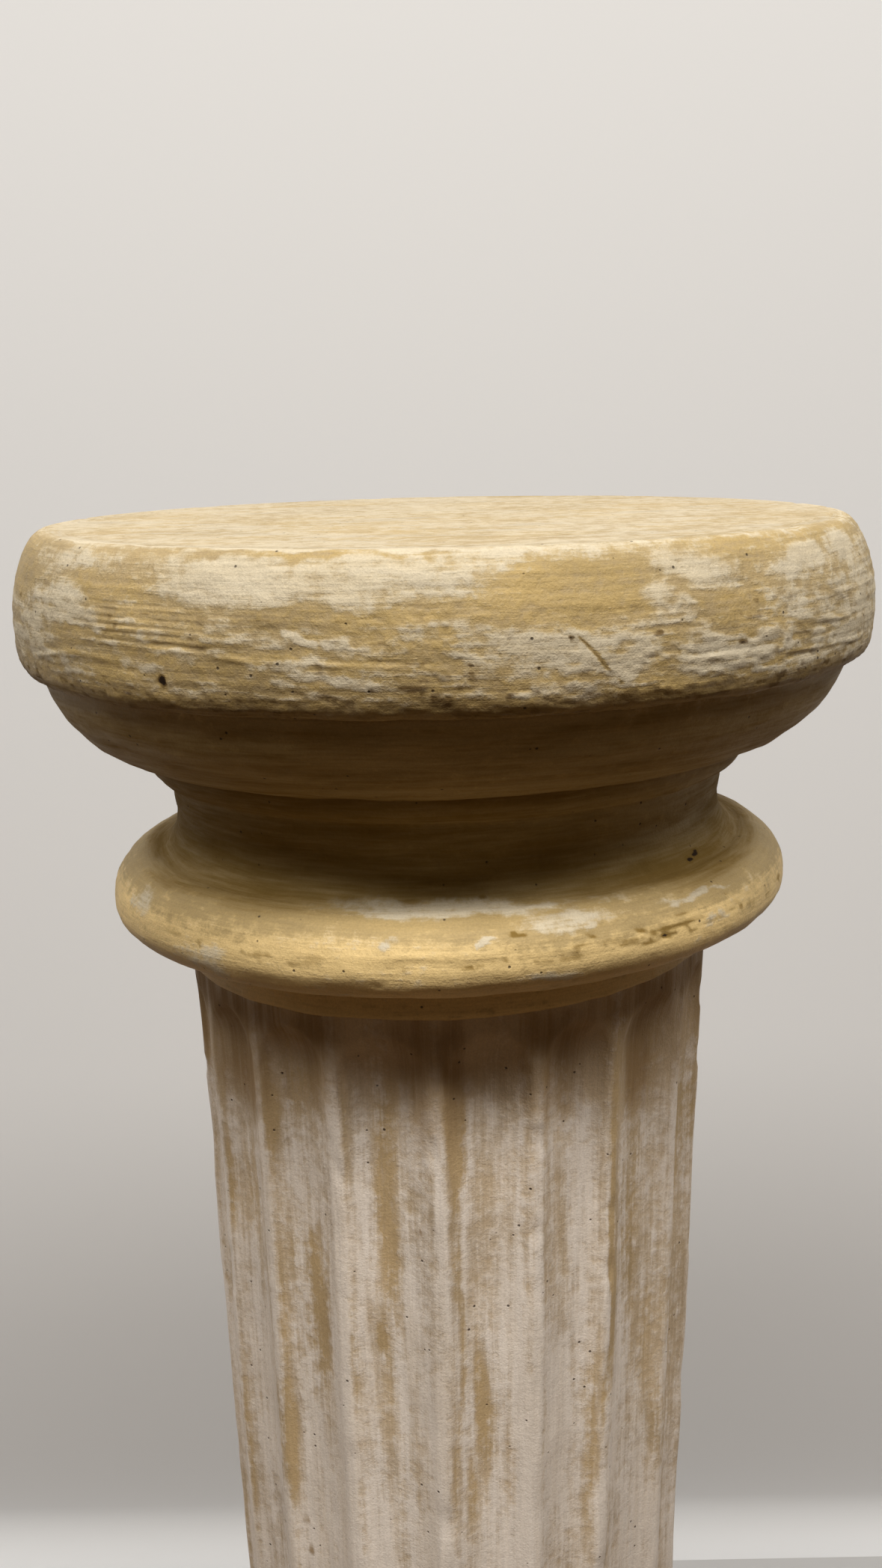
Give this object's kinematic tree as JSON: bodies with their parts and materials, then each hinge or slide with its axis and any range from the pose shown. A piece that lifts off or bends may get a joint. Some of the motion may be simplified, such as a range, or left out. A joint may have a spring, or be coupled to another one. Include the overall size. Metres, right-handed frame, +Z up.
{
  "type": "column plinth",
  "caption": "Round column plinth: a moulded head with a thick rounded slab, ovolo and torus on a tapering fluted shaft and round foot, in distressed ochre and off-white painted casting.",
  "frame": {"origin": "middle of the flat underside, on the floor", "axes": "+Z up along the column's axis, towards the flat top face; -Y is the side that the picture shows, +X its right"},
  "size_m": [0.3, 0.3, 0.76],
  "materials": {
    "painted_casting": "matt distressed paint, off-white dragged over ochre, brown in the hollows"
  },
  "bodies": {
    "root": {"column": "painted_casting"}
  },
  "joints": []
}
